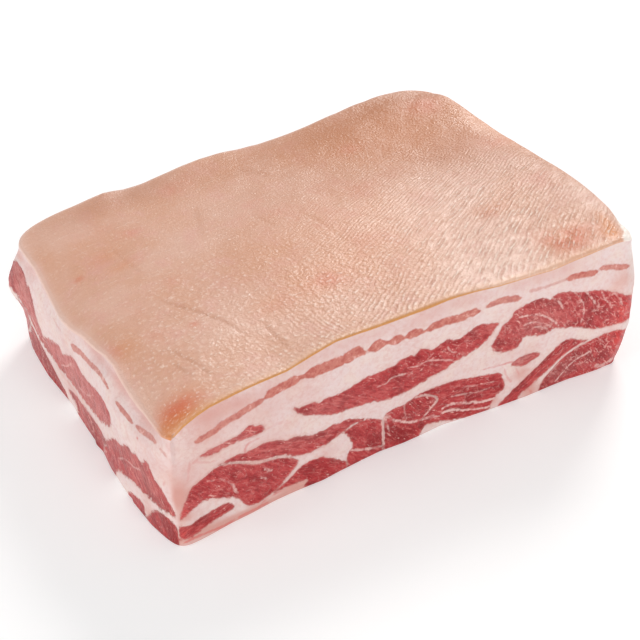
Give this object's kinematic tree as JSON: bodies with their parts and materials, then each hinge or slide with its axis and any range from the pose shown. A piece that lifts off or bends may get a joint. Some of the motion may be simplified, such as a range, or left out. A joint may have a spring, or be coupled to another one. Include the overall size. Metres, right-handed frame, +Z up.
{
  "type": "pork belly slab",
  "caption": "Rectangular slab of raw skin-on pork belly with clean-cut sides that show layers of lean and fat.",
  "frame": {"origin": "middle of the bounding box of the flat underside, on the surface it rests on", "axes": "+X along the long side of the slab, +Y from the front cut to the back cut, +Z up towards the skin"},
  "size_m": [0.2188, 0.1557, 0.0644],
  "materials": {
    "rind": "raw pig skin, finely wrinkled, moist satin",
    "fat": "raw pork fat, pale pink, moist",
    "lean": "raw pork lean, marbled with fat, moist"
  },
  "bodies": {
    "root": {"back_fat": "rind", "lean_streak": "lean", "middle_fat": "fat", "upper_lean": "lean", "seam_fat": "fat", "lower_lean": "lean"}
  },
  "joints": []
}
